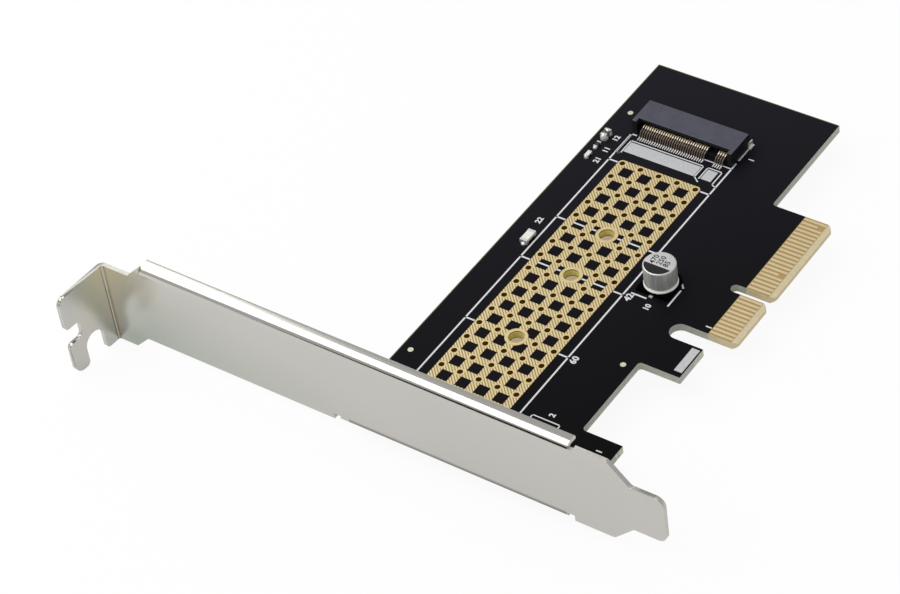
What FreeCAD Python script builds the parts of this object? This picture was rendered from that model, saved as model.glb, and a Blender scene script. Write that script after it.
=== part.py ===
import FreeCAD, Part
import math
import os

V = FreeCAD.Vector
SAME_POINT = 1e-6
SMALL_SIDES = 12

# An adapter card that carries a solid-state drive module in a card slot. Sizes are in millimetres.
# The origin is the middle of the key notch, on the edge of the contact fingers and at half the
# board's thickness. +X runs from the bracket to the far end, +Y from the fingers to the bracket's
# tab, and +Z up from the component side.

# Board
BOARD_T = 1.6
BOARD_HEIGHT = 52.6
FAR_END_X = 46.95
RELIEF_Y = 12.75
INNER_CORNER_R = 0.7

# Contact fingers
PIN_PITCH = 1.0
PIN_COUNT_BEFORE_KEY = 11
PIN_COUNT_AFTER_KEY = 21
KEY_SPAN = 3.0
KEY_W = 1.9
KEY_DEPTH = 8.25
EDGE_MARGIN = 0.65
FINGER_W = 0.7
FINGER_T = 0.05
FINGER_TOP_Y = 5.6
FINGER_LOW_Y = 1.0
SHORT_FINGER_LOW_Y = 2.3
SHORT_PINS_FRONT = (17, 31)
SHORT_PINS_BACK = (1,)
BEVEL_LEN = 0.95
BEVEL_DEPTH = 0.4
EDGE_CORNER_R = 1.2

# Retention hook beside the fingers, and the foot beside the bracket
HOOK_GAP_W = 3.8
HOOK_GAP_TOP_Y = 12.35
HOOK_W = 7.9
HOOK_LOW_Y = 4.45
FOOT_END_X = -42.4

# Drive module: where its edge stops, its centre line, and the lengths that the holes serve
MODULE_STOP_X = 31.16
MODULE_TO_TOP = 17.15
MODULE_LENGTHS = (30, 42, 60, 80)
MODULE_HOLE_D = 3.0
RING_D = 4.3

# Copper field that cools the module
COPPER_T = 0.05
FIELD_PITCH = 4.0
FIELD_COLUMNS = 18
FIELD_ROWS = 4
FIELD_TO_STOP = 12.0
FIELD_MARGIN = 0.9
SQUARE_W = 2.3
MASK_T = 0.03

# Module socket: the housing
SOCKET_H = 3.2
SOCKET_BACK = 3.0
SOCKET_LIP = 2.5
JAW_REACH = 3.1
ARM_REACH = 3.6
ARM_T = 0.9
END_ROOM = 0.575
ROOF_T = 0.75
FLOOR_H = 0.75
KEY_WEB_W = 0.8
KEY_WEB_OFFSET = 6.125
KEY_WEB_REACH = 1.6
PEG_D = 1.1
PEG_LEN = 1.2
PEG_OFFSET = 9.1
PEG_CLEARANCE = 0.05
CHAMFER_TOP = 0.25

# Module socket: the contacts
CONTACT_PITCH = 0.25
CONTACT_COUNT = 75
CONTACT_KEY = range(59, 67)
CONTACT_W = 0.22
CONTACT_T = 0.12
LOWER_FOOT_REACH = 5.1
LOWER_FOOT_LEN = 0.7
LOWER_SHOULDER_REACH = 3.75
LOWER_SHOULDER_H = 1.1
LOWER_TIP_REACH = 2.2
LOWER_TIP_H = 1.65
LOWER_END_REACH = 0.6
UPPER_FOOT_LEN = 0.8
UPPER_BEAM_H = 2.3
UPPER_BEND_REACH = 0.6
UPPER_TIP_REACH = 1.8
UPPER_TIP_DROP = 0.25
HOLD_DOWN_LEN = 1.5
HOLD_DOWN_PAST_BACK = 0.7
HOLD_DOWN_T = 0.25
HOLD_DOWN_W = 0.6
HOLD_DOWN_H = 1.3

# Electrolytic capacitor
CAN_X = -5.35
CAN_TO_FIELD = 7.8
CAN_D = 6.2
CAN_RING_D = 6.45
CAN_NECK_D = 5.8
CAN_TOP_H = 5.3
CAN_EDGE = 0.3
CAN_RING_H = 0.55
CAN_NECK_H = 0.35
BASE_W = 6.6
BASE_H = 0.6
BASE_CORNER = 1.3
LEAD_W = 0.7
LEAD_T = 0.15
LEAD_OUT = 0.55
LEAD_START = 0.8

# Chip parts: centre X, distance of the centre from the board's top edge, length, width, height,
# length of each end cap
CHIP_CAPACITOR = (24.45, 2.2, 2.0, 1.25, 1.1, 0.5)
CHIP_RESISTOR = (21.4, 2.15, 1.6, 0.8, 0.45, 0.3)
LED_LARGE = (-6.3, 4.75, 3.2, 1.5, 0.9, 0.6)
LED_SMALL = (18.2, 2.15, 1.6, 0.8, 0.6, 0.35)
END_CAP_GROW = 0.03

# Fiducial marks: centre X and distance from the top edge or from the relief edge
TOP_FIDUCIALS = ((-40.4, 2.1), (32.2, 2.75))
LOW_FIDUCIALS = ((-25.75, 2.15),)
FIDUCIAL_D = 1.1

# Bracket: one folded sheet. Places along it are measured down from its top.
SHEET_T = 0.86
BRACKET_FACE_X = -58.65
BRACKET_TOP_Y = 105.4
BRACKET_LEN = 120.02
PLATE_W = 18.42
PLATE_SKIRT = 0.4
BOARD_GAP = 0.45
TONGUE_W = 10.19
TONGUE_LEN = 6.5
TONGUE_CORNER_R = 1.8
SHOULDER_R = 0.8
TAB_DEPTH = 11.43
TAB_OFFSET = 3.17
TAB_FOLD_R = 0.5
TAB_LEAN = 4.0
STEP_TOP = 6.9
STEP_LOW = 5.2
TAB_CORNER_R = 1.8
TAB_SMALL_R = 0.9
TAB_FINGER_R = 2.0
SCREW_SLOT_W = 3.7
SCREW_SLOT_DEPTH = 3.43
SCREW_SLOT_H = 9.2
TAB_NOTCH_W = 4.6
TAB_NOTCH_REACH = 5.6
TAB_NOTCH_H = 6.1
LIP_DEPTH = 2.9
LIP_FOLD_R = 0.64
LIP_START = 10.1
LIP_END = 101.5
FLANGE_DEPTH = 9.2
FLANGE_EDGE_R = 0.4
FLANGE_ROOT_R = 0.1
FLANGE_PAST_BOARD = 0.5
FLANGE_ABOVE_FOOT = 0.85
RELIEF_W = 1.4
LIP_RELIEF_DEPTH = 0.9

# Screws that hold the flange to the board
SCREW_D = 3.0
SCREW_HOLE_D = 3.4
SCREW_INSET = 4.65
SCREW_REACH = 5.6
SCREW_HEAD_D = 5.5
SCREW_HEAD_H = 1.9
SCREW_HEAD_EDGE = 0.6
SCREW_PROUD = 0.3
CROSS_L = 3.0
CROSS_W = 0.7
CROSS_DEPTH = 1.1

# Worked out from the sizes above
TOP = BOARD_T / 2
BOTTOM = -BOARD_T / 2
EDGE_LEFT = -KEY_SPAN / 2 - (PIN_COUNT_BEFORE_KEY - 1) * PIN_PITCH - EDGE_MARGIN
EDGE_RIGHT = KEY_SPAN / 2 + (PIN_COUNT_AFTER_KEY - 1) * PIN_PITCH + EDGE_MARGIN
HOOK_RIGHT = EDGE_LEFT - HOOK_GAP_W
HOOK_LEFT = HOOK_RIGHT - HOOK_W
PLATE_BACK_X = BRACKET_FACE_X + SHEET_T
BOARD_LEFT = PLATE_BACK_X + BOARD_GAP
PLATE_LOW = BOTTOM - SHEET_T - PLATE_SKIRT
PLATE_TOP = PLATE_LOW + PLATE_W
TAB_LOW = PLATE_LOW - TAB_OFFSET
TAB_HIGH = PLATE_TOP - TAB_OFFSET
FLANGE_HIGH_Y = BOARD_HEIGHT + FLANGE_PAST_BOARD
FLANGE_LOW_Y = HOOK_LOW_Y + FLANGE_ABOVE_FOOT
FLANGE_LEN = FLANGE_HIGH_Y - FLANGE_LOW_Y
SCREW_X = BRACKET_FACE_X + SCREW_REACH
SCREW_Y = [FLANGE_LOW_Y + SCREW_INSET, FLANGE_HIGH_Y - SCREW_INSET]
MODULE_Y = BOARD_HEIGHT - MODULE_TO_TOP
FIELD_RIGHT = MODULE_STOP_X - FIELD_TO_STOP
FIELD_LEFT = FIELD_RIGHT - FIELD_COLUMNS * FIELD_PITCH
FIELD_LOW = MODULE_Y - FIELD_ROWS * FIELD_PITCH / 2
FIELD_HIGH = MODULE_Y + FIELD_ROWS * FIELD_PITCH / 2
MODULE_HOLES = [MODULE_STOP_X - length for length in MODULE_LENGTHS]
CAN_Y = FIELD_LOW - CAN_TO_FIELD
SOCKET_W = CONTACT_COUNT * CONTACT_PITCH + 2 * (END_ROOM + ARM_T)


def box(x0, x1, y0, y1, z0, z1):
    return Part.makeBox(x1 - x0, y1 - y0, z1 - z0, V(x0, y0, z0))


def rod(diameter, length, x, y, z):
    return Part.makeCylinder(diameter / 2, length, V(x, y, z))


def facet_rod(sides, diameter, length, x, y, z):
    """A small round form, drawn with a few flat sides."""
    turns = [2 * math.pi * side / sides for side in range(sides + 1)]
    radius = diameter / 2
    corners = [V(x + radius * math.cos(turn), y + radius * math.sin(turn), z) for turn in turns]
    return Part.Face(Part.makePolygon(corners)).extrude(V(0, 0, length))


def rounded_wire(points, place):
    """A closed outline through (u, v, radius) corners, put in space by the function place."""
    edges = []
    starts = []
    ends = []
    count = len(points)
    for index in range(count):
        u, v, radius = points[index]
        before = V(*points[index - 1][:2], 0) - V(u, v, 0)
        after = V(*points[(index + 1) % count][:2], 0) - V(u, v, 0)
        before.normalize()
        after.normalize()
        turn = before.getAngle(after)
        cut = radius / math.tan(turn / 2) if radius else 0
        start = V(u, v, 0) + before * cut
        end = V(u, v, 0) + after * cut
        starts.append(start)
        ends.append(end)
        if radius:
            middle = before + after
            middle.normalize()
            apex = V(u, v, 0) + middle * (radius / math.sin(turn / 2) - radius)
            edges.append(Part.Arc(place(start), place(apex), place(end)).toShape())
    for index in range(count):
        tail = ends[index - 1]
        head = starts[index]
        if (head - tail).Length > SAME_POINT:
            edges.append(Part.makeLine(place(tail), place(head)))
    return Part.Wire(Part.__sortEdges__(edges))


def on_xy(z):
    return lambda p: V(p.x, p.y, z)


def on_yz(x):
    return lambda p: V(x, p.x, p.y)


def on_xz(y):
    return lambda p: V(p.x, y, p.y)


def prism(points, place, sweep):
    return Part.Face(rounded_wire(points, place)).extrude(sweep)


def joined(shapes):
    return shapes[0].multiFuse(shapes[1:]).removeSplitter()


def save(shape, name):
    if not shape.isValid():
        raise ValueError(name + " is not a valid shape")
    shape.exportStep("parts/" + name + ".step")


def board():
    """The laminate: its outline, the key notch, the drilled holes and the bevelled edge."""
    key = KEY_W / 2
    outline = [
        (BOARD_LEFT, BOARD_HEIGHT, 0),
        (BOARD_LEFT, HOOK_LOW_Y, 0),
        (FOOT_END_X, HOOK_LOW_Y, 0),
        (FOOT_END_X, RELIEF_Y, INNER_CORNER_R),
        (HOOK_LEFT, RELIEF_Y, INNER_CORNER_R),
        (HOOK_LEFT, HOOK_LOW_Y, 0),
        (HOOK_RIGHT, HOOK_LOW_Y, 0),
        (HOOK_RIGHT, HOOK_GAP_TOP_Y, HOOK_GAP_W / 2),
        (EDGE_LEFT, HOOK_GAP_TOP_Y, HOOK_GAP_W / 2),
        (EDGE_LEFT, 0, EDGE_CORNER_R),
        (-key, 0, EDGE_CORNER_R),
        (-key, KEY_DEPTH, key),
        (key, KEY_DEPTH, key),
        (key, 0, EDGE_CORNER_R),
        (EDGE_RIGHT, 0, EDGE_CORNER_R),
        (EDGE_RIGHT, RELIEF_Y, INNER_CORNER_R),
        (FAR_END_X, RELIEF_Y, 0),
        (FAR_END_X, BOARD_HEIGHT, 0),
    ]
    body = prism(outline, on_xy(BOTTOM), V(0, 0, BOARD_T))
    cuts = [rod(MODULE_HOLE_D, BOARD_T, x, MODULE_Y, BOTTOM) for x in MODULE_HOLES]
    cuts += [rod(SCREW_HOLE_D, BOARD_T, SCREW_X, y, BOTTOM) for y in SCREW_Y]
    cuts += [peg(side, PEG_D + 2 * PEG_CLEARANCE, BOARD_T) for side in (-1, 1)]
    for face in (-1, 1):
        wedge = [
            (0, face * TOP, 0),
            (0, face * (TOP - BEVEL_DEPTH), 0),
            (BEVEL_LEN, face * TOP, 0),
        ]
        cuts.append(prism(wedge, on_yz(EDGE_LEFT), V(EDGE_RIGHT - EDGE_LEFT, 0, 0)))
    return body.cut(cuts)


def fingers(z, short_pins):
    """One side's row of contact fingers, counted from the bracket."""
    solids = []
    for pin in range(1, PIN_COUNT_BEFORE_KEY + PIN_COUNT_AFTER_KEY + 1):
        if pin <= PIN_COUNT_BEFORE_KEY:
            x = -KEY_SPAN / 2 - (PIN_COUNT_BEFORE_KEY - pin) * PIN_PITCH
        else:
            x = KEY_SPAN / 2 + (pin - PIN_COUNT_BEFORE_KEY - 1) * PIN_PITCH
        low = SHORT_FINGER_LOW_Y if pin in short_pins else FINGER_LOW_Y
        solids.append(box(x - FINGER_W / 2, x + FINGER_W / 2, low, FINGER_TOP_Y, z, z + FINGER_T))
    return Part.makeCompound(solids)


def copper_field():
    """The bare copper under the module, with a bore for each fixing hole."""
    corners = [(FIELD_LEFT, FIELD_LOW, -1, -1), (FIELD_RIGHT, FIELD_LOW, 1, -1),
               (FIELD_RIGHT, FIELD_HIGH, 1, 1), (FIELD_LEFT, FIELD_HIGH, -1, 1)]
    outline = [(x + a * FIELD_MARGIN, y + b * FIELD_MARGIN, FIELD_MARGIN) for x, y, a, b in corners]
    sheet = prism(outline, on_xy(TOP), V(0, 0, COPPER_T))
    return sheet.cut([rod(MODULE_HOLE_D, COPPER_T, x, MODULE_Y, TOP) for x in MODULE_HOLES])


def mask_squares():
    """Squares of solder mask on the copper, cut back from the bare ring at each fixing hole."""
    low = TOP + COPPER_T
    half = SQUARE_W / 2
    rings = [rod(RING_D, MASK_T, x, MODULE_Y, low) for x in MODULE_HOLES]
    squares = []
    for column in range(FIELD_COLUMNS):
        x = FIELD_RIGHT - (column + 0.5) * FIELD_PITCH
        for row in range(FIELD_ROWS):
            y = FIELD_HIGH - (row + 0.5) * FIELD_PITCH
            squares.append(box(x - half, x + half, y - half, y + half, low, low + MASK_T))
    return Part.makeCompound(squares).cut(rings)


def peg(side, diameter, length):
    return facet_rod(SMALL_SIDES, diameter, length, MODULE_STOP_X, MODULE_Y + side * PEG_OFFSET, TOP - length)


def contact_numbers(parity):
    return [n for n in range(1, CONTACT_COUNT + 1) if n % 2 == parity and n not in CONTACT_KEY]


def contact_y(number):
    return MODULE_Y + ((CONTACT_COUNT + 1) / 2 - number) * CONTACT_PITCH


def socket_housing():
    """The moulding: roof, jaw, back wall, two arms, the key web and two pegs."""
    half = SOCKET_W / 2
    back = MODULE_STOP_X + SOCKET_BACK
    lip = MODULE_STOP_X - SOCKET_LIP
    front = MODULE_STOP_X - ARM_REACH
    profile = [
        (lip, TOP + SOCKET_H, CHAMFER_TOP),
        (lip, TOP + SOCKET_H - ROOF_T, 0),
        (MODULE_STOP_X, TOP + SOCKET_H - ROOF_T, 0),
        (MODULE_STOP_X, TOP + FLOOR_H, 0),
        (MODULE_STOP_X - JAW_REACH, TOP + FLOOR_H, 0),
        (MODULE_STOP_X - JAW_REACH, TOP, 0),
        (back, TOP, 0),
        (back, TOP + SOCKET_H, CHAMFER_TOP),
    ]
    body = prism(profile, on_xz(MODULE_Y - half), V(0, SOCKET_W, 0))
    arm = [
        (front, TOP, 0),
        (front, TOP + SOCKET_H, CHAMFER_TOP),
        (back, TOP + SOCKET_H, CHAMFER_TOP),
        (back, TOP, 0),
    ]
    arms = [prism(arm, on_xz(MODULE_Y + y), V(0, ARM_T, 0)) for y in (-half, half - ARM_T)]
    web_y = MODULE_Y - KEY_WEB_OFFSET
    web = box(MODULE_STOP_X - KEY_WEB_REACH, MODULE_STOP_X, web_y - KEY_WEB_W / 2,
              web_y + KEY_WEB_W / 2, TOP + FLOOR_H, TOP + SOCKET_H - ROOF_T)
    pegs = [peg(side, PEG_D, PEG_LEN) for side in (-1, 1)]
    slots = []
    for number in contact_numbers(1):
        y = contact_y(number)
        slots.append(box(MODULE_STOP_X, back, y - CONTACT_W / 2, y + CONTACT_W / 2,
                         TOP + UPPER_BEAM_H - CONTACT_T, TOP + UPPER_BEAM_H))
    return joined([body, web] + arms + pegs).cut(slots)


def contact_row(numbers, path):
    """A row of bent strips, one for each contact, from one side view."""
    solids = []
    for number in numbers:
        y = contact_y(number) - CONTACT_W / 2
        points = [(x, z, 0) for x, z in path]
        solids.append(prism(points, on_xz(y), V(0, CONTACT_W, 0)))
    return Part.makeCompound(solids)


def strip(stations):
    """The side view of a bent strip: its lower line, then the same line one thickness higher."""
    return stations + [(x, z + CONTACT_T) for x, z in reversed(stations)]


def lower_contacts():
    """Each foot lies in front of the housing; the spring rises to its tip and ends on the floor."""
    stations = [
        (MODULE_STOP_X - LOWER_FOOT_REACH, TOP),
        (MODULE_STOP_X - LOWER_FOOT_REACH + LOWER_FOOT_LEN, TOP),
        (MODULE_STOP_X - LOWER_SHOULDER_REACH, TOP + LOWER_SHOULDER_H - CONTACT_T),
        (MODULE_STOP_X - LOWER_TIP_REACH, TOP + LOWER_TIP_H - CONTACT_T),
        (MODULE_STOP_X - LOWER_END_REACH, TOP + FLOOR_H),
    ]
    return contact_row(contact_numbers(0), strip(stations))


def upper_contacts():
    """Each foot lies behind the housing; the spring passes through the back wall's slot."""
    back = MODULE_STOP_X + SOCKET_BACK
    heel = back + CONTACT_T
    toe = heel + UPPER_FOOT_LEN
    bend = MODULE_STOP_X - UPPER_BEND_REACH
    tip = MODULE_STOP_X - UPPER_TIP_REACH
    beam = TOP + UPPER_BEAM_H
    path = [
        (toe, TOP),
        (toe, TOP + CONTACT_T),
        (heel, TOP + CONTACT_T),
        (heel, beam),
        (bend, beam),
        (tip, beam - UPPER_TIP_DROP),
        (tip, beam - UPPER_TIP_DROP - CONTACT_T),
        (bend, beam - CONTACT_T),
        (back, beam - CONTACT_T),
        (back, TOP),
    ]
    return contact_row(contact_numbers(1), path)


def hold_downs():
    """Two soldered angles, one at each end of the socket, that stand out past its back."""
    solids = []
    x1 = MODULE_STOP_X + SOCKET_BACK + HOLD_DOWN_PAST_BACK
    x0 = x1 - HOLD_DOWN_LEN
    for side in (-1, 1):
        wall = MODULE_Y + side * SOCKET_W / 2
        foot = sorted((wall, wall + side * HOLD_DOWN_W))
        leg = sorted((wall, wall + side * HOLD_DOWN_T))
        solids.append(joined([
            box(x0, x1, foot[0], foot[1], TOP, TOP + HOLD_DOWN_T),
            box(x0, x1, leg[0], leg[1], TOP, TOP + HOLD_DOWN_H),
        ]))
    return Part.makeCompound(solids)


def capacitor_can():
    """The turned-over can: a flat top with a narrow bevel, a crimped neck and a flared foot ring."""
    base = TOP + BASE_H
    ring = base + CAN_RING_H
    profile = [
        (0, base, 0),
        (CAN_RING_D / 2, base, 0),
        (CAN_RING_D / 2, ring, 0),
        (CAN_NECK_D / 2, ring + CAN_NECK_H / 2, 0),
        (CAN_D / 2, ring + CAN_NECK_H, 0),
        (CAN_D / 2, TOP + CAN_TOP_H - CAN_EDGE, 0),
        (CAN_D / 2 - CAN_EDGE, TOP + CAN_TOP_H, 0),
        (0, TOP + CAN_TOP_H, 0),
    ]
    face = Part.Face(rounded_wire(profile, lambda p: V(CAN_X + p.x, CAN_Y, p.y)))
    return face.revolve(V(CAN_X, CAN_Y, 0), V(0, 0, 1), 360)


def capacitor_base():
    """A square plinth with two cut corners and a groove for the leads."""
    half = BASE_W / 2
    outline = [
        (CAN_X - half, CAN_Y - half, 0),
        (CAN_X + half - BASE_CORNER, CAN_Y - half, 0),
        (CAN_X + half, CAN_Y - half + BASE_CORNER, 0),
        (CAN_X + half, CAN_Y + half - BASE_CORNER, 0),
        (CAN_X + half - BASE_CORNER, CAN_Y + half, 0),
        (CAN_X - half, CAN_Y + half, 0),
    ]
    plinth = prism(outline, on_xy(TOP), V(0, 0, BASE_H))
    groove = box(CAN_X - half, CAN_X + half, CAN_Y - LEAD_W / 2, CAN_Y + LEAD_W / 2,
                 TOP, TOP + LEAD_T)
    return plinth.cut(groove)


def capacitor_leads():
    """Two flat leads that run out under the plinth along X."""
    solids = []
    for side in (-1, 1):
        ends = sorted((CAN_X + side * LEAD_START, CAN_X + side * (BASE_W / 2 + LEAD_OUT)))
        solids.append(box(ends[0], ends[1], CAN_Y - LEAD_W / 2, CAN_Y + LEAD_W / 2,
                          TOP, TOP + LEAD_T))
    return Part.makeCompound(solids)


def chip_bodies(chips):
    solids = []
    for x, drop, length, width, height, cap in chips:
        y = BOARD_HEIGHT - drop
        half = length / 2 - cap
        solids.append(box(x - half, x + half, y - width / 2, y + width / 2, TOP, TOP + height))
    return Part.makeCompound(solids)


def chip_ends(chips):
    """Soldered end caps, one at each end of every chip."""
    solids = []
    for x, drop, length, width, height, cap in chips:
        y = BOARD_HEIGHT - drop
        grown = width / 2 + END_CAP_GROW
        for side in (-1, 1):
            ends = sorted((x + side * (length / 2 - cap), x + side * length / 2))
            solids.append(box(ends[0], ends[1], y - grown, y + grown,
                              TOP, TOP + height + END_CAP_GROW))
    return Part.makeCompound(solids)


def fiducials():
    places = [(x, BOARD_HEIGHT - drop) for x, drop in TOP_FIDUCIALS]
    places += [(x, RELIEF_Y + rise) for x, rise in LOW_FIDUCIALS]
    discs = [facet_rod(SMALL_SIDES, FIDUCIAL_D, COPPER_T, x, y, TOP) for x, y in places]
    return Part.makeCompound(discs)


def along(distance):
    """Row Y of a place that lies this far down the bracket from its top."""
    return BRACKET_TOP_Y - distance


def fold(centre, inner, start, end, place, sweep):
    """A bent stretch of sheet: part of a ring, from one angle to the other in degrees, swept."""
    def at(radius, angle):
        turn = math.radians(angle)
        return V(centre[0] + radius * math.cos(turn), centre[1] + radius * math.sin(turn), 0)
    outer = inner + SHEET_T
    middle = (start + end) / 2
    edges = [
        Part.Arc(place(at(outer, start)), place(at(outer, middle)), place(at(outer, end))).toShape(),
        Part.makeLine(place(at(outer, end)), place(at(inner, end))),
        Part.Arc(place(at(inner, end)), place(at(inner, middle)), place(at(inner, start))).toShape(),
        Part.makeLine(place(at(inner, start)), place(at(outer, start))),
    ]
    return Part.Face(Part.Wire(edges)).extrude(sweep)


def bracket_plate():
    """The flat plate: the offset end under the tab, the shoulders and the tongue."""
    tip = along(BRACKET_LEN)
    root = tip + TONGUE_LEN
    inset = (PLATE_W - TONGUE_W) / 2
    shoulder = root + inset
    fold_y = BRACKET_TOP_Y - SHEET_T - TAB_FOLD_R
    outline = [
        (fold_y, TAB_LOW, 0),
        (along(STEP_LOW), TAB_LOW, 0),
        (along(STEP_LOW) - TAB_OFFSET, PLATE_LOW, 0),
        (shoulder, PLATE_LOW, SHOULDER_R),
        (root, PLATE_LOW + inset, SHOULDER_R),
        (tip, PLATE_LOW + inset, TONGUE_CORNER_R),
        (tip, PLATE_TOP - inset, TONGUE_CORNER_R),
        (root, PLATE_TOP - inset, SHOULDER_R),
        (shoulder, PLATE_TOP, SHOULDER_R),
        (along(STEP_TOP) - TAB_OFFSET, PLATE_TOP, 0),
        (along(STEP_TOP), TAB_HIGH, 0),
        (fold_y, TAB_HIGH, 0),
    ]
    return prism(outline, on_yz(BRACKET_FACE_X), V(SHEET_T, 0, 0))


def bracket_tab():
    """The tab, square to the plate: an open screw slot in its outer edge and a round notch below."""
    outer = BRACKET_FACE_X - TAB_DEPTH
    fold_x = BRACKET_FACE_X - TAB_FOLD_R
    slot_low = TAB_LOW + SCREW_SLOT_H - SCREW_SLOT_W / 2
    slot_high = slot_low + SCREW_SLOT_W
    slot_end = outer + SCREW_SLOT_DEPTH
    notch = BRACKET_FACE_X - TAB_NOTCH_REACH
    half = TAB_NOTCH_W / 2
    outline = [
        (fold_x, TAB_HIGH, 0),
        (outer, TAB_HIGH, TAB_CORNER_R),
        (outer, slot_high, TAB_SMALL_R),
        (slot_end, slot_high, TAB_SMALL_R),
        (slot_end, slot_low, TAB_SMALL_R),
        (outer, slot_low, TAB_SMALL_R),
        (outer, TAB_LOW, TAB_FINGER_R),
        (notch - half, TAB_LOW, TAB_SMALL_R),
        (notch - half, TAB_LOW + TAB_NOTCH_H, half),
        (notch + half, TAB_LOW + TAB_NOTCH_H, half),
        (notch + half, TAB_LOW, TAB_SMALL_R),
        (fold_x, TAB_LOW, 0),
    ]
    return prism(outline, on_xz(BRACKET_TOP_Y - SHEET_T), V(0, SHEET_T, 0))


def bracket():
    """One sheet: plate, tab, stiffening lip along the top and mounting flange under the board."""
    lip_y = along(LIP_END)
    lip_len = LIP_END - LIP_START
    lip_bend = PLATE_TOP - SHEET_T - LIP_FOLD_R
    lip_x = PLATE_BACK_X + LIP_FOLD_R
    flange_cut = BOTTOM + FLANGE_ROOT_R
    cuts = [
        box(BRACKET_FACE_X, PLATE_BACK_X, lip_y, lip_y + lip_len, lip_bend, PLATE_TOP),
        box(BRACKET_FACE_X, PLATE_BACK_X, lip_y - RELIEF_W, lip_y, PLATE_TOP - LIP_RELIEF_DEPTH, PLATE_TOP),
        box(BRACKET_FACE_X, PLATE_BACK_X, FLANGE_LOW_Y, FLANGE_HIGH_Y, PLATE_LOW, flange_cut),
    ]
    for y in (FLANGE_LOW_Y - RELIEF_W, FLANGE_HIGH_Y):
        cuts.append(box(BRACKET_FACE_X, PLATE_BACK_X, y, y + RELIEF_W, PLATE_LOW, BOTTOM))
    flange = [
        (BRACKET_FACE_X, flange_cut, 0),
        (BRACKET_FACE_X, BOTTOM - SHEET_T, FLANGE_EDGE_R),
        (BRACKET_FACE_X + FLANGE_DEPTH, BOTTOM - SHEET_T, 0),
        (BRACKET_FACE_X + FLANGE_DEPTH, BOTTOM, 0),
        (PLATE_BACK_X, BOTTOM, FLANGE_ROOT_R),
        (PLATE_BACK_X, flange_cut, 0),
    ]
    fold_x = BRACKET_FACE_X - TAB_FOLD_R
    fold_y = BRACKET_TOP_Y - SHEET_T - TAB_FOLD_R
    tab = bracket_tab()
    tab.rotate(V(fold_x, fold_y, 0), V(0, 0, 1), -TAB_LEAN)
    pieces = [
        bracket_plate().cut(cuts),
        fold((fold_x, fold_y), TAB_FOLD_R, 0, 90 - TAB_LEAN, on_xy(TAB_LOW), V(0, 0, TAB_HIGH - TAB_LOW)),
        tab,
        fold((lip_x, lip_bend), LIP_FOLD_R, 90, 180, on_xz(lip_y), V(0, lip_len, 0)),
        box(lip_x, BRACKET_FACE_X + LIP_DEPTH, lip_y, lip_y + lip_len, PLATE_TOP - SHEET_T, PLATE_TOP),
        prism(flange, on_xz(FLANGE_LOW_Y), V(0, FLANGE_LEN, 0)),
    ]
    holes = [rod(SCREW_D, SHEET_T, SCREW_X, y, BOTTOM - SHEET_T) for y in SCREW_Y]
    return joined(pieces).cut(holes)


def bracket_screws():
    """Two pan-head screws: through the board and into the flange's tapped holes."""
    solids = []
    shank_len = BOARD_T + SHEET_T + SCREW_PROUD
    for y in SCREW_Y:
        head = rod(SCREW_HEAD_D, SCREW_HEAD_H, SCREW_X, y, TOP)
        head = head.makeChamfer(SCREW_HEAD_EDGE, [head.Edges[0]])
        shank = rod(SCREW_D, shank_len, SCREW_X, y, TOP - shank_len)
        low = TOP + SCREW_HEAD_H - CROSS_DEPTH
        high = TOP + SCREW_HEAD_H
        bars = [
            box(SCREW_X - CROSS_L / 2, SCREW_X + CROSS_L / 2, y - CROSS_W / 2, y + CROSS_W / 2, low, high),
            box(SCREW_X - CROSS_W / 2, SCREW_X + CROSS_W / 2, y - CROSS_L / 2, y + CROSS_L / 2, low, high),
        ]
        solids.append(joined([head, shank]).cut(bars))
    return Part.makeCompound(solids)


os.makedirs("parts", exist_ok=True)
save(board(), "circuit_board")
save(copper_field(), "thermal_copper")
save(mask_squares(), "solder_mask_squares")
save(fingers(TOP, SHORT_PINS_FRONT), "front_contact_fingers")
save(fingers(BOTTOM - FINGER_T, SHORT_PINS_BACK), "rear_contact_fingers")
save(fiducials(), "fiducial_marks")
save(socket_housing(), "socket_housing")
save(lower_contacts(), "socket_lower_contacts")
save(upper_contacts(), "socket_upper_contacts")
save(hold_downs(), "socket_hold_downs")
save(capacitor_can(), "capacitor_can")
save(capacitor_base(), "capacitor_base")
save(capacitor_leads(), "capacitor_leads")
save(chip_bodies([CHIP_CAPACITOR]), "chip_capacitor_body")
save(chip_ends([CHIP_CAPACITOR]), "chip_capacitor_ends")
save(chip_bodies([CHIP_RESISTOR]), "chip_resistor_body")
save(chip_ends([CHIP_RESISTOR]), "chip_resistor_ends")
save(chip_bodies([LED_LARGE, LED_SMALL]), "indicator_led_bodies")
save(chip_ends([LED_LARGE, LED_SMALL]), "indicator_led_ends")
save(bracket(), "bracket")
save(bracket_screws(), "bracket_screws")
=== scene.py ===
import math

import bmesh
import bpy
from mathutils import Euler, Matrix, Vector


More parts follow.
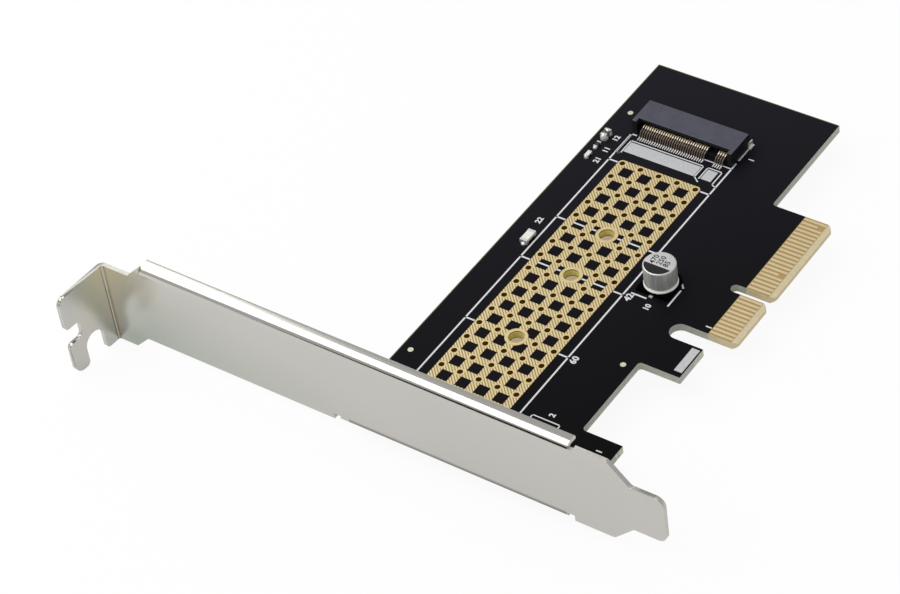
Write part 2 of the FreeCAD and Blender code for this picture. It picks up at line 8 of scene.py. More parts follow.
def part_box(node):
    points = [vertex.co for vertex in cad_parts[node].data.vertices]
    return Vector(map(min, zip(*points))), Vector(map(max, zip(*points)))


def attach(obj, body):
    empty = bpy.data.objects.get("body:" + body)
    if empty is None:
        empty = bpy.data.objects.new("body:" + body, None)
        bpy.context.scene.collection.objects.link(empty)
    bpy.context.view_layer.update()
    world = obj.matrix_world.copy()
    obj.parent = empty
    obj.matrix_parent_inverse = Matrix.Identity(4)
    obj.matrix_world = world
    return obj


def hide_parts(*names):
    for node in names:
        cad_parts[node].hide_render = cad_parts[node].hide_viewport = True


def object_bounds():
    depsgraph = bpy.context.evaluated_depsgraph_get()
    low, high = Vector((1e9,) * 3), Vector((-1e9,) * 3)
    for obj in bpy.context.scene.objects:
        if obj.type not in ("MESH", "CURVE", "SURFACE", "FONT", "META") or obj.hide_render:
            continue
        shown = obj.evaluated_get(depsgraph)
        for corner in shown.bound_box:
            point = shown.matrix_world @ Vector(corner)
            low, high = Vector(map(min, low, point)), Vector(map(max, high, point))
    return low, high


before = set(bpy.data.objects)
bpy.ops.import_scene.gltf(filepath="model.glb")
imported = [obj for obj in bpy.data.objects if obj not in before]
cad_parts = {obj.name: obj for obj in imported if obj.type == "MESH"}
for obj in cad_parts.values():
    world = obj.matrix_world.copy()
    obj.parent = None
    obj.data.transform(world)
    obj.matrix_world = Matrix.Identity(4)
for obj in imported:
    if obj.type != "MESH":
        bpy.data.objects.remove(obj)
loaded_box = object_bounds()


# Circuit board: glass-fibre laminate, 1.6 mm thick, under a black solder mask. It is routed to its
# outline out of a larger panel, drilled for the module's stud, and bevelled along the contact
# tongue, where the mask is left off. All sizes in this file are millimetres unless they say metres.

MM = 0.001
BOARD_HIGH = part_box("circuit_board")[1] / MM
MODULE_Y = 35.45
MODULE_HOLES = (1.16, -10.84, -28.84, -48.84)
FLAT_FACE = 0.97
TONGUE_LEFT = -13.0
TONGUE_MASK_Y = 5.75
MASK_MARGIN = 0.2
MASK_ROUGHNESS = 0.42
MASK_SHINE = 0.05
MASK_NEAR_PAINTED_DARK = "#050506"
MASK_FAR_PAINTED_SHEEN = "#1B1B22"
FAR_SLANT = 0.8
FAR_START = -45.0
FAR_END = 80.0
EDGE_RIM = "#5E6238"
BARE_LAMINATE = "#B39A66"
BEVELLED_EDGE = "#E4D5B0"
ROUTED_EDGE = "#BFC2B6"
WEAVE_DARK = 0.8
WEAVE_LIGHT = 1.15
SNAPPED_TABS = ((46.95, 33.0), (-16.4, 4.6), (-42.4, 5.6))
SNAPPED_REACH = 2.6
SNAPPED_EDGE = "#E4E2CE"
TORN_FROM = 0.46
TORN_TO = 0.56
BARREL_REACH = 2.0
BARREL_RIM_Z = 0.66
BARREL_WALL_PAINTED_LIGHT = "#F6E68C"
BARREL_RIM = "#4A3A14"

# A blend of two colours takes its share at input 0 and the colours at inputs 6 and 7.
BLEND = {"out": 2, "data_type": "RGBA"}


def linear(code):
    """A colour written as an sRGB hex value, as the linear colour that a shader wants."""
    parts = [int(code[i:i + 2], 16) / 255 for i in (1, 3, 5)]
    return [p / 12.92 if p <= 0.04045 else ((p + 0.055) / 1.055) ** 2.4 for p in parts] + [1.0]


def add(tree, kind, inputs=None, out=0, **settings):
    """Adds a node, sets or links its inputs, and gives back one of its outputs."""
    made = tree.nodes.new(kind)
    for name, value in settings.items():
        setattr(made, name, value)
    for key, value in (inputs or {}).items():
        if isinstance(value, bpy.types.NodeSocket):
            tree.links.new(value, made.inputs[key])
        else:
            made.inputs[key].default_value = value
    return made.outputs[out]


def start(name, **fixed):
    """A new material, its tree, its shader's inputs, and the place on the object in millimetres."""
    # On that place, the scale of a texture is the number of its grains to a millimetre.
    material = bpy.data.materials.new(name)
    material.use_nodes = True
    tree = material.node_tree
    shader = tree.nodes["Principled BSDF"]
    for key, value in fixed.items():
        shader.inputs[key.replace("_", " ")].default_value = value
    metres = add(tree, "ShaderNodeTexCoord", out=3)
    place = add(tree, "ShaderNodeVectorMath", {0: metres, 3: 1 / MM}, operation="SCALE")
    return material, tree, shader.inputs, place


def mottled(name, dark, light, per_mm, detail=3.0, relief=None, **fixed):
    """A material mottled between two colours. A relief is its strength and its height."""
    material, tree, into, place = start(name, **fixed)
    grain = add(tree, "ShaderNodeTexNoise", {"Vector": place, "Scale": per_mm, "Detail": detail})
    shade = add(tree, "ShaderNodeMix", {0: grain, 6: linear(dark), 7: linear(light)}, **BLEND)
    tree.links.new(shade, into["Base Color"])
    if relief:
        strength, height = relief
        bump = add(tree, "ShaderNodeBump", {"Strength": strength, "Distance": height * MM, "Height": grain})
        tree.links.new(bump, into["Normal"])
    return material


def wear(material, *nodes):
    """Gives CAD nodes a material in place of their own."""
    for node in nodes:
        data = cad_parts[node].data
        data.materials.clear()
        data.materials.append(material)


# Black epoxy mask: nearly black, with a weak soft shine. Its colour is painted darker near the bracket
# and greyer towards the far end, as a painted reflection. It stops short of the routed edges, whose
# sides show the grey-green weave. Where the panel's tabs were snapped off, the glass is torn white.
# The module's holes are plated inside.
laminate, tree, into, place = start("black_solder_mask_on_glass_laminate", Roughness=MASK_ROUGHNESS,
                                    Specular_IOR_Level=MASK_SHINE)
x, y, z = add(tree, "ShaderNodeSeparateXYZ", {0: place}).node.outputs
normal = add(tree, "ShaderNodeNewGeometry", out=1)
up = add(tree, "ShaderNodeSeparateXYZ", {0: normal}, out=2)
up = add(tree, "ShaderNodeMath", {0: up}, operation="ABSOLUTE")
flat = add(tree, "ShaderNodeMath", {0: up, 1: FLAT_FACE}, operation="GREATER_THAN")
low = add(tree, "ShaderNodeMath", {0: y, 1: TONGUE_MASK_Y}, operation="LESS_THAN")
right = add(tree, "ShaderNodeMath", {0: x, 1: TONGUE_LEFT}, operation="GREATER_THAN")
bare = add(tree, "ShaderNodeMath", {0: low, 1: right}, operation="MULTIPLY")
past_y = add(tree, "ShaderNodeMath", {0: y, 1: BOARD_HIGH.y - MASK_MARGIN}, operation="GREATER_THAN")
past_x = add(tree, "ShaderNodeMath", {0: x, 1: BOARD_HIGH.x - MASK_MARGIN}, operation="GREATER_THAN")
rim = add(tree, "ShaderNodeMath", {0: past_x, 1: past_y}, operation="MAXIMUM")
# Painted reflection: the mask is darker near the bracket and greyer towards the far end.
across = add(tree, "ShaderNodeMath", {0: y, 1: FAR_SLANT, 2: x}, operation="MULTIPLY_ADD")
painted_sheen = add(tree, "ShaderNodeMapRange", {0: across, 1: FAR_START, 2: FAR_END})
face = add(tree, "ShaderNodeMix", {0: painted_sheen, 6: linear(MASK_NEAR_PAINTED_DARK), 7: linear(MASK_FAR_PAINTED_SHEEN)}, **BLEND)
face = add(tree, "ShaderNodeMix", {0: rim, 6: face, 7: linear(EDGE_RIM)}, **BLEND)
face = add(tree, "ShaderNodeMix", {0: bare, 6: face, 7: linear(BARE_LAMINATE)}, **BLEND)
side = add(tree, "ShaderNodeMix", {0: bare, 6: linear(ROUTED_EDGE), 7: linear(BEVELLED_EDGE)}, **BLEND)
snapped = 0.0
for tab_x, tab_y in SNAPPED_TABS:
    away = add(tree, "ShaderNodeVectorMath", {0: place, 1: (tab_x, tab_y, 0.0)}, out=1,
               operation="DISTANCE")
    near = add(tree, "ShaderNodeMath", {0: away, 1: SNAPPED_REACH}, operation="LESS_THAN")
    snapped = add(tree, "ShaderNodeMath", {0: snapped, 1: near}, operation="MAXIMUM")
torn = add(tree, "ShaderNodeTexNoise", {"Vector": place, "Scale": 1.1, "Detail": 4.0})
torn = add(tree, "ShaderNodeMapRange", {0: torn, 1: TORN_FROM, 2: TORN_TO})
torn = add(tree, "ShaderNodeMath", {0: torn, 1: snapped}, operation="MULTIPLY")
side = add(tree, "ShaderNodeMix", {0: torn, 6: side, 7: linear(SNAPPED_EDGE)}, **BLEND)
weave = add(tree, "ShaderNodeTexNoise", {"Vector": place, "Scale": 1.6, "Detail": 6.0})
weave = add(tree, "ShaderNodeMapRange", {0: weave, 3: WEAVE_DARK, 4: WEAVE_LIGHT})
side = add(tree, "ShaderNodeVectorMath", {0: side, 3: weave}, operation="SCALE")
# The plated walls of the module's holes are painted paler than their gold, as painted light, and darker
# near their rims, as painted shade.
depth = add(tree, "ShaderNodeMath", {0: z}, operation="ABSOLUTE")
shaded_rim = add(tree, "ShaderNodeMath", {0: depth, 1: BARREL_RIM_Z}, operation="GREATER_THAN")
barrel = add(tree, "ShaderNodeMix", {0: shaded_rim, 6: linear(BARREL_WALL_PAINTED_LIGHT), 7: linear(BARREL_RIM)}, **BLEND)
for hole_x in MODULE_HOLES:
    away = add(tree, "ShaderNodeVectorMath", {0: place, 1: (hole_x, MODULE_Y, 0.0)}, out=1,
               operation="DISTANCE")
    near = add(tree, "ShaderNodeMath", {0: away, 1: BARREL_REACH}, operation="LESS_THAN")
    side = add(tree, "ShaderNodeMix", {0: near, 6: side, 7: barrel}, **BLEND)
colour = add(tree, "ShaderNodeMix", {0: flat, 6: side, 7: face}, **BLEND)
tree.links.new(colour, into["Base Color"])
grain = add(tree, "ShaderNodeTexNoise", {"Vector": place, "Scale": 2.5, "Detail": 4.0})
bump = add(tree, "ShaderNodeBump", {"Strength": 0.12, "Distance": 0.02 * MM, "Height": grain})
tree.links.new(bump, into["Normal"])
wear(laminate, "circuit_board")

# The squares are the same epoxy, printed as islands, so their faint cloudiness is a little stronger.
mask = mottled("black_solder_mask", "#08080B", "#18131A", per_mm=2.5, detail=4.0, relief=(0.12, 0.02),
               Roughness=MASK_ROUGHNESS, Specular_IOR_Level=MASK_SHINE)
wear(mask, "solder_mask_squares")


# Thermal copper under the module: a field of gold-flashed copper, left without mask and drawn as a
# diagonal hatch. Plated through-holes, each in a smooth land, carry its heat to the other side, and
# a wider land rings each of the holes for the module's stud.

FIELD_LOW, FIELD_HIGH = [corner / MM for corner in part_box("thermal_copper")]
GOLD_METALLIC = 0.3
GOLD_ROUGHNESS = 0.36
GOLD_LIGHT = "#E8D5A4"
GOLD_DARK = "#9A8550"
HATCH_PITCH = 0.5
HATCH_GAP = 0.15
HATCH_LINE = 0.65
WAVE_PERIOD = 2 * math.pi / 20
VIA_PITCH = 4.0
VIA_INSET = 0.9
VIA_COLUMNS = 19
VIA_ROWS = 5
VIA_LAND_R = 0.9
VIA_R = 0.56
VIA_FLOOR_R = 0.8 * VIA_R
VIA_FLOOR = FIELD_HIGH.z + 0.002
VIA_WALL = FIELD_HIGH.z + 0.006
VIA_WALL_SHADE = "#2A1F06"
VIA_FLOOR_SHADE_DARK = "#2E1E00"
VIA_FLOOR_SHADE_LIGHT = "#442E00"
VIA_STEPS = 20
LAND_TOP = FIELD_HIGH.z + 0.02
LAND_OVER_VIA = 0.004
HOLE_R = 1.5
HOLE_LAND_R = 2.15
HOLE_STEPS = 64
WELD = 0.0005


def turned(mesh, centre, outline, steps):
    """Spins a closed outline of (radius, height) points about an upright axis at a centre."""
    points = [mesh.verts.new((centre[0] + radius, centre[1], height)) for radius, height in outline]
    edges = [mesh.edges.new(pair) for pair in zip(points, points[1:] + points[:1])]
    bmesh.ops.spin(mesh, geom=points + edges, cent=(centre[0], centre[1], 0.0), axis=(0.0, 0.0, 1.0),
                   angle=2 * math.pi, steps=steps, use_merge=True)


def stand(name, mesh, material):
    """Puts a mesh in the scene, as it is, with a material."""
    data = bpy.data.meshes.new(name)
    mesh.to_mesh(data)
    mesh.free()
    data.materials.append(material)
    made = bpy.data.objects.new(name, data)
    bpy.context.collection.objects.link(made)
    return made


def piece(name, mesh, material):
    """Closes a mesh drawn in millimetres and makes it a piece of the object, in metres."""
    bmesh.ops.remove_doubles(mesh, verts=mesh.verts, dist=WELD)
    bmesh.ops.recalc_face_normals(mesh, faces=mesh.faces)
    bmesh.ops.scale(mesh, verts=mesh.verts, vec=(MM, MM, MM))
    made = stand(name, mesh, material)
    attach(made, "root")
    return made


# Immersion gold: pale and satin. The hatch's copper lines stand up from the laminate between them.
field, tree, into, place = start("immersion_gold_on_hatched_copper", Metallic=GOLD_METALLIC, Roughness=0.42)
turn = add(tree, "ShaderNodeMapping", {"Vector": place, "Rotation": (0.0, 0.0, math.radians(45))})
hatch = add(tree, "ShaderNodeTexWave", {"Vector": turn, "Scale": WAVE_PERIOD / HATCH_PITCH,
                                        "Distortion": 0.0, "Detail": 0.0},
            out=1, wave_profile="SIN", bands_direction="X")
line = add(tree, "ShaderNodeMapRange", {0: hatch, 1: HATCH_GAP, 2: HATCH_LINE})
shade = add(tree, "ShaderNodeMix", {0: line, 6: linear(GOLD_DARK), 7: linear(GOLD_LIGHT)}, **BLEND)
tree.links.new(shade, into["Base Color"])
bump = add(tree, "ShaderNodeBump", {"Strength": 0.4, "Distance": 0.03 * MM, "Height": hatch})
tree.links.new(bump, into["Normal"])
wear(field, "thermal_copper")

# Solid lands: the same gold without the hatch, smooth, with the faint clouds of a chemical plating.
smooth_gold = mottled("immersion_gold", "#D2BA80", "#ECD8A8", per_mm=1.2, Metallic=GOLD_METALLIC,
                      Roughness=GOLD_ROUGHNESS)

# Plated hole: narrow and deep, but drawn as a shallow dish, so its dark rim and dull brown floor are
# painted shade.
painted_hole_shade, tree, into, place = start("plated_hole", Roughness=0.6, Specular_IOR_Level=0.0)
height = add(tree, "ShaderNodeSeparateXYZ", {0: place}, out=2)
wall = add(tree, "ShaderNodeMath", {0: height, 1: VIA_WALL}, operation="GREATER_THAN")
cloud = add(tree, "ShaderNodeTexNoise", {"Vector": place, "Scale": 3.0, "Detail": 2.0})
shade = add(tree, "ShaderNodeMix", {0: cloud, 6: linear(VIA_FLOOR_SHADE_DARK), 7: linear(VIA_FLOOR_SHADE_LIGHT)},
            **BLEND)
shade = add(tree, "ShaderNodeMix", {0: wall, 6: shade, 7: linear(VIA_WALL_SHADE)}, **BLEND)
tree.links.new(shade, into["Base Color"])

lands = bmesh.new()
holes = bmesh.new()
for column in range(VIA_COLUMNS):
    for row in range(VIA_ROWS):
        centre = (FIELD_HIGH.x - VIA_INSET - column * VIA_PITCH, FIELD_HIGH.y - VIA_INSET - row * VIA_PITCH)
        to_stud = min(math.dist(centre, (hole_x, MODULE_Y)) for hole_x in MODULE_HOLES)
        if to_stud > HOLE_LAND_R + VIA_LAND_R / 2:
            turned(lands, centre, [(VIA_R, FIELD_HIGH.z), (VIA_LAND_R, FIELD_HIGH.z),
                                   (VIA_LAND_R, LAND_TOP), (VIA_R, LAND_TOP)], VIA_STEPS)
            turned(holes, centre, [(0.0, BOARD_HIGH.z), (VIA_R, BOARD_HIGH.z),
                                   (VIA_R, LAND_TOP - LAND_OVER_VIA), (VIA_FLOOR_R, VIA_FLOOR),
                                   (0.0, VIA_FLOOR)], VIA_STEPS)
for hole_x in MODULE_HOLES:
    turned(lands, (hole_x, MODULE_Y), [(HOLE_R, FIELD_HIGH.z), (HOLE_LAND_R, FIELD_HIGH.z),
                                       (HOLE_LAND_R, LAND_TOP), (HOLE_R, LAND_TOP)], HOLE_STEPS)
piece("solid_lands", lands, smooth_gold)
piece("plated_holes", holes, painted_hole_shade)


# Edge fingers and fiducial marks: hard gold over nickel on copper. Each finger's own sides are
# painted darker, as painted shade where the copper slopes down to the laminate.

FINGER_MIDDLE = 0.5
FINGER_HALF = 0.29
FINGER_GRAINS = (6.0, 0.5, 1.0)
FINGER_SIDE_PAINTED_SHADE = "#A8905C"
FINGER_DARK = "#D3BD90"
FINGER_LIGHT = "#E8D6AE"

# Hard gold: a cool pale yellow with a satin shine and light rub marks along the way it slides in. The
# fingers stand 1 mm apart, so the fraction of a place's x tells how far it is from a finger's middle.
fingers, tree, into, place = start("hard_gold_plate", Metallic=GOLD_METALLIC, Roughness=GOLD_ROUGHNESS)
along = add(tree, "ShaderNodeSeparateXYZ", {0: place}, out=0)
share = add(tree, "ShaderNodeMath", {0: along}, operation="FRACT")
off = add(tree, "ShaderNodeMath", {0: share, 1: FINGER_MIDDLE}, operation="SUBTRACT")
off = add(tree, "ShaderNodeMath", {0: off}, operation="ABSOLUTE")
# The band along each finger's sides is painted shade.
shaded_side = add(tree, "ShaderNodeMath", {0: off, 1: FINGER_HALF}, operation="GREATER_THAN")
rubbed = add(tree, "ShaderNodeMapping", {"Vector": place, "Scale": FINGER_GRAINS})
cloud = add(tree, "ShaderNodeTexNoise", {"Vector": rubbed, "Scale": 1.0, "Detail": 3.0})
shade = add(tree, "ShaderNodeMix", {0: cloud, 6: linear(FINGER_DARK), 7: linear(FINGER_LIGHT)}, **BLEND)
shade = add(tree, "ShaderNodeMix", {0: shaded_side, 6: shade, 7: linear(FINGER_SIDE_PAINTED_SHADE)}, **BLEND)
tree.links.new(shade, into["Base Color"])
wear(fingers, "front_contact_fingers", "rear_contact_fingers")

# The fiducial marks are the same plating over bare nickel, which leaves them paler.
pale_gold = mottled("flash_gold_on_nickel", "#CFCAB0", "#E6E2CA", per_mm=1.2, Metallic=GOLD_METALLIC,
                    Roughness=GOLD_ROUGHNESS)
wear(pale_gold, "fiducial_marks")


# Print: white epoxy ink, screened on the mask about a hundredth of a millimetre thick. It marks the
# module's outline, a tick at each of its lengths, the places of parts, and plain numbers.

PRINT_Z = BOARD_HIGH.z
PRINT_T = 0.02
INK_ROUGHNESS = 0.6
INK_SHINE = 0.3
LINE_W = 0.34
THIN_W = 0.24
MODULE_W = 22.0
OUTLINE_LEFT = -56.4
OUTLINE_RIGHT = 27.16
OUTLINE_HIGH = MODULE_Y + MODULE_W / 2
OUTLINE_LOW = MODULE_Y - MODULE_W / 2
CONTACTS_HIGH = 45.4
CONTACTS_LOW = 30.3
LOW_LINES = ((OUTLINE_LEFT, 28.7), (29.9, 34.9))
TICK_GAP = 0.3
STUD_TICK = (2.45, 3.0)
SQUARES_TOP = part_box("solder_mask_squares")[1].z / MM
SQUARE_ROWS = (41.45, 29.45)
SQUARE_HALF = 1.05
CONTACT_FRAMES = (((OUTLINE_RIGHT, 46.3), (21.3, 46.3), (21.7, 45.35)),
                  ((21.3, 46.3), (21.7, 45.45), (25.5, 45.45), (25.5, 29.5), (22.2, 29.5), (21.3, 28.3)),
                  ((22.2, 28.55), (25.5, 28.55), (25.5, 25.45), (21.75, 25.45), (21.35, OUTLINE_LOW)))
CAPACITOR_CORNERS = (((-9.65, 23.2), (-9.65, 20.3)), ((-9.45, 15.7), (-5.2, 15.7)),
                     ((-4.3, 15.7), (-2.6, 17.2)), ((-0.9, 20.6), (-0.9, 23.2)))
PLUG_FRAME = ((-46.4, 22.3), (-43.45, 22.3), (-43.45, 16.6), (-46.4, 16.6), (-46.4, 22.3))
FILLED_FIELDS = (((22.25, 29.75), (25.1, 45.2)), ((22.25, 26.1), (25.1, 28.25)),
                 ((-22.7, 4.75), (-16.5, 6.35)))
DIGIT_SHARE = 0.72
DIGIT_WEIGHT = 0.03
LENGTH_DIGITS = ("30", "42", "60", "80")
LENGTH_DIGIT_Y = 23.2
LENGTH_DIGIT_H = 1.35
PART_DIGITS = (("12", (24.7, 48.35)), ("11", (21.1, 48.3)), ("21", (17.9, 48.3)), ("22", (-1.2, 48.8)),
               ("10", (-11.5, 18.9)), ("2", (-42.0, 19.2)), ("1", (-10.7, 6.5)), ("1", (-45.4, 7.4)),
               ("1", (31.0, 22.5)))
PART_DIGIT_H = 1.15
PART_DIGIT_WEIGHT = 0.035


def stroke(mesh, points, width=LINE_W, base=PRINT_Z):
    """Printed line through points of the board, a thin bar for each of its runs."""
    for first, last in zip(points, points[1:]):
        run = Vector(last) - Vector(first)
        middle = (Vector(last) + Vector(first)) / 2
        size = Matrix.Diagonal((run.length + width, width, PRINT_T, 1.0))
        turn = Matrix.Rotation(math.atan2(run.y, run.x), 4, "Z")
        lift = Matrix.Translation((middle.x, middle.y, base + PRINT_T / 2))
        bmesh.ops.create_cube(mesh, size=1.0, matrix=lift @ turn @ size)


def block(mesh, low, high):
    """Printed rectangle between two corners of the board."""
    size = Matrix.Diagonal((high[0] - low[0], high[1] - low[1], PRINT_T, 1.0))
    lift = Matrix.Translation(((low[0] + high[0]) / 2, (low[1] + high[1]) / 2, PRINT_Z + PRINT_T / 2))
    bmesh.ops.create_cube(mesh, size=1.0, matrix=lift @ size)


def figures(mesh, text, centre, height, base=PRINT_Z, weight=DIGIT_WEIGHT):
    """Printed digits of a height, around a centre."""
    words = bpy.data.curves.new("figures", "FONT")
    words.body = text
    words.size = height / DIGIT_SHARE
    words.extrude = PRINT_T / 2
    words.offset = weight * words.size
    words.resolution_u = 2
    words.align_x = "CENTER"
    holder = bpy.data.objects.new("figures", words)
    flat_figures = bpy.data.meshes.new_from_object(holder)
    lift = Matrix.Translation((centre[0], centre[1] - height / 2, base + PRINT_T / 2))
    flat_figures.transform(lift)
    mesh.from_mesh(flat_figures)
    bpy.data.objects.remove(holder)
    bpy.data.curves.remove(words)
    bpy.data.meshes.remove(flat_figures)


# Screened epoxy ink: matt white, with the mesh of the screen as a faint mottle.
ink = mottled("white_epoxy_ink", "#CFCFD2", "#EFEFF0", per_mm=4.0, relief=(0.2, 0.01),
              Roughness=INK_ROUGHNESS, Specular_IOR_Level=INK_SHINE)

# A wide area of ink lies thinner, and the black below shows through it as grey.
thin_ink = mottled("white_epoxy_ink_thin", "#AFB1B4", "#D6D8DA", per_mm=2.2, detail=5.0, relief=(0.3, 0.01),
                   Roughness=INK_ROUGHNESS, Specular_IOR_Level=INK_SHINE)

# The module's outline, with a tick at the socket's end of the field and at each of its lengths.
lines = bmesh.new()
stroke(lines, [(OUTLINE_LEFT, OUTLINE_HIGH), (OUTLINE_RIGHT, OUTLINE_HIGH), (OUTLINE_RIGHT, CONTACTS_HIGH)])
stroke(lines, [(OUTLINE_RIGHT, CONTACTS_LOW), (OUTLINE_RIGHT, OUTLINE_LOW)], THIN_W)
for left, right in LOW_LINES:
    stroke(lines, [(left, OUTLINE_LOW), (right, OUTLINE_LOW)])
for tick_x in (FIELD_HIGH.x - VIA_INSET,) + MODULE_HOLES:
    stroke(lines, [(tick_x, OUTLINE_HIGH), (tick_x, FIELD_HIGH.y + TICK_GAP)])
    stroke(lines, [(tick_x, OUTLINE_LOW), (tick_x, FIELD_LOW.y - TICK_GAP)])

# The two shortest lengths are also ticked on the mask squares beside their holes.
for tick_x in MODULE_HOLES[:2]:
    for tick_y in SQUARE_ROWS:
        stroke(lines, [(tick_x, tick_y - SQUARE_HALF), (tick_x, tick_y + SQUARE_HALF)], base=SQUARES_TOP)
    for side in (-1, 1):
        stroke(lines, [(tick_x, MODULE_Y + side * reach) for reach in STUD_TICK], base=SQUARES_TOP)

# Around the place where the socket's contacts stand, the capacitor, and the place for a plug.
for points in CONTACT_FRAMES:
    stroke(lines, points, THIN_W)
for points in CAPACITOR_CORNERS:
    stroke(lines, points)
stroke(lines, PLUG_FRAME, THIN_W)

for text, hole_x in zip(LENGTH_DIGITS, MODULE_HOLES):
    figures(lines, text, (hole_x, LENGTH_DIGIT_Y), LENGTH_DIGIT_H)
for text, centre in PART_DIGITS:
    figures(lines, text, centre, PART_DIGIT_H, weight=PART_DIGIT_WEIGHT)
piece("printed_lines", lines, ink)

# The filled fields in front of the socket, and a plain bar on the hook.
fields = bmesh.new()
for low, high in FILLED_FIELDS:
    block(fields, low, high)
piece("printed_fields", fields, thin_ink)


# Module socket: a moulding of black glass-filled nylon that grips the module's edge. Its springs are
# stamped phosphor bronze, gold-flashed where they touch and tinned where they are soldered.

ROOF_T = 0.3
ROOF_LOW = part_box("socket_housing")[1].z / MM - ROOF_T
UP_FACE = 0.7
NYLON_SIDE = "#131318"
NYLON_ROOF_SHEEN_DARK = "#43434D"
NYLON_ROOF_SHEEN_LIGHT = "#565664"
FOOT_END_X = 26.85
CREST_X = 28.3
CREST_END_X = 29.5
SPRING_DARK = "#4C4036"
SPRING_LIGHT = "#75655A"
SPRING_CREST_GOLD_AND_GLINT = "#FBEBCB"
SPRING_FOOT = "#F2F0EE"

# Glass-filled nylon: black, with the upward faces of its roof painted a matt dark slate as painted
# light, and black on its sides.
housing, tree, into, place = start("glass_filled_nylon", Roughness=0.5, Specular_IOR_Level=0.25)
normal = add(tree, "ShaderNodeNewGeometry", out=1)
up = add(tree, "ShaderNodeSeparateXYZ", {0: normal}, out=2)
up = add(tree, "ShaderNodeMath", {0: up, 1: UP_FACE}, operation="GREATER_THAN")
height = add(tree, "ShaderNodeSeparateXYZ", {0: place}, out=2)
high = add(tree, "ShaderNodeMath", {0: height, 1: ROOF_LOW}, operation="GREATER_THAN")
lit_roof = add(tree, "ShaderNodeMath", {0: up, 1: high}, operation="MULTIPLY")
cloud = add(tree, "ShaderNodeTexNoise", {"Vector": place, "Scale": 0.6, "Detail": 6.0})
shade = add(tree, "ShaderNodeMix", {0: cloud, 6: linear(NYLON_ROOF_SHEEN_DARK), 7: linear(NYLON_ROOF_SHEEN_LIGHT)},
            **BLEND)
shade = add(tree, "ShaderNodeMix", {0: lit_roof, 6: linear(NYLON_SIDE), 7: shade}, **BLEND)
tree.links.new(shade, into["Base Color"])
grit = add(tree, "ShaderNodeTexNoise", {"Vector": place, "Scale": 6.0, "Detail": 3.0})
bump = add(tree, "ShaderNodeBump", {"Strength": 0.25, "Distance": 0.02 * MM, "Height": grit})
tree.links.new(bump, into["Normal"])
wear(housing, "socket_housing")

# Phosphor bronze: brown beams, a gold crest where the module rubs, painted near white as a painted
# highlight, and a white tinned foot.
spring, tree, into, place = start("gold_flashed_phosphor_bronze", Metallic=0.35, Roughness=0.35)
along = add(tree, "ShaderNodeSeparateXYZ", {0: place}, out=0)
cloud = add(tree, "ShaderNodeTexNoise", {"Vector": place, "Scale": 1.5, "Detail": 5.0})
shade = add(tree, "ShaderNodeMix", {0: cloud, 6: linear(SPRING_DARK), 7: linear(SPRING_LIGHT)}, **BLEND)
foot = add(tree, "ShaderNodeMath", {0: along, 1: FOOT_END_X}, operation="LESS_THAN")
crest = add(tree, "ShaderNodeMath", {0: along, 1: CREST_X}, operation="GREATER_THAN")
crest_end = add(tree, "ShaderNodeMath", {0: along, 1: CREST_END_X}, operation="LESS_THAN")
crest = add(tree, "ShaderNodeMath", {0: crest, 1: crest_end}, operation="MULTIPLY")
shade = add(tree, "ShaderNodeMix", {0: crest, 6: shade, 7: linear(SPRING_CREST_GOLD_AND_GLINT)}, **BLEND)
shade = add(tree, "ShaderNodeMix", {0: foot, 6: shade, 7: linear(SPRING_FOOT)}, **BLEND)
tree.links.new(shade, into["Base Color"])
wear(spring, "socket_lower_contacts", "socket_upper_contacts")

# Tin: bright and white, with the soft mottle of solder that has run and set.
tin = mottled("soldered_tin", "#D6D6D4", "#F6F6F3", per_mm=3.0, relief=(0.3, 0.03), Metallic=0.6,
              Roughness=0.28)
wear(tin, "socket_hold_downs", "capacitor_leads", "chip_capacitor_ends", "chip_resistor_ends",
     "indicator_led_ends")


# Capacitor: an aluminium can, drawn and crimped over a rubber seal, on a moulded black plinth. The
# top is printed with a black segment on the negative side and with plain numbers.

CAN_LOW, CAN_HIGH = [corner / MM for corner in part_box("capacitor_can")]
CAN_MIDDLE = ((CAN_LOW.x + CAN_HIGH.x) / 2, (CAN_LOW.y + CAN_HIGH.y) / 2)
CAN_R = 3.1
CAN_EDGE_R = 0.26
CAN_EDGE_PARTS = 5
CAN_FOOT_R = (CAN_HIGH.x - CAN_LOW.x) / 2
CAN_FOOT_EDGE = 0.1
CAN_FOOT_SIDE = CAN_LOW.z + 0.3
CAN_FOOT_TOP = CAN_LOW.z + 0.42
CAN_NECK_R = 2.92
CAN_NECK_TOP = CAN_LOW.z + 0.85
CAN_STEPS = 64
CAN_SHARP = 30
CAN_GRAINS = (3.0, 3.0, 0.12)
CAN_METALLIC = 0.6
CAN_FOOT_METALLIC = 0.2
CAN_DARK = "#B4B4B4"
CAN_LIGHT = "#F0F0EE"
CAN_FOOT_PAINTED_HIGHLIGHT = "#FFFFFF"
CAN_INK_R = 2.84
CAN_INK_T = 0.012
SEGMENT_CHORD = -0.75
CAN_DIGITS = (("470", 0.55, 1.45), ("250", 0.8, 0.1), ("85", 0.4, -1.25))
CAN_DIGIT_H = 1.1
CAN_DIGIT_WEIGHT = 0.014


def quarter(middle_r, middle_z, across, rise, parts):
    """Points of a rounded corner, as (radius, height), from its side up to its top."""
    turns = [math.radians(90 * i / parts) for i in range(parts + 1)]
    return [(middle_r + across * math.cos(turn), middle_z + rise * math.sin(turn)) for turn in turns]


def smooth(made, degrees):
    """Smooth shading on a piece, with an edge kept where its faces meet at more than so many degrees."""
    made.data.shade_smooth()
    made.data.set_sharp_from_angle(angle=math.radians(degrees))


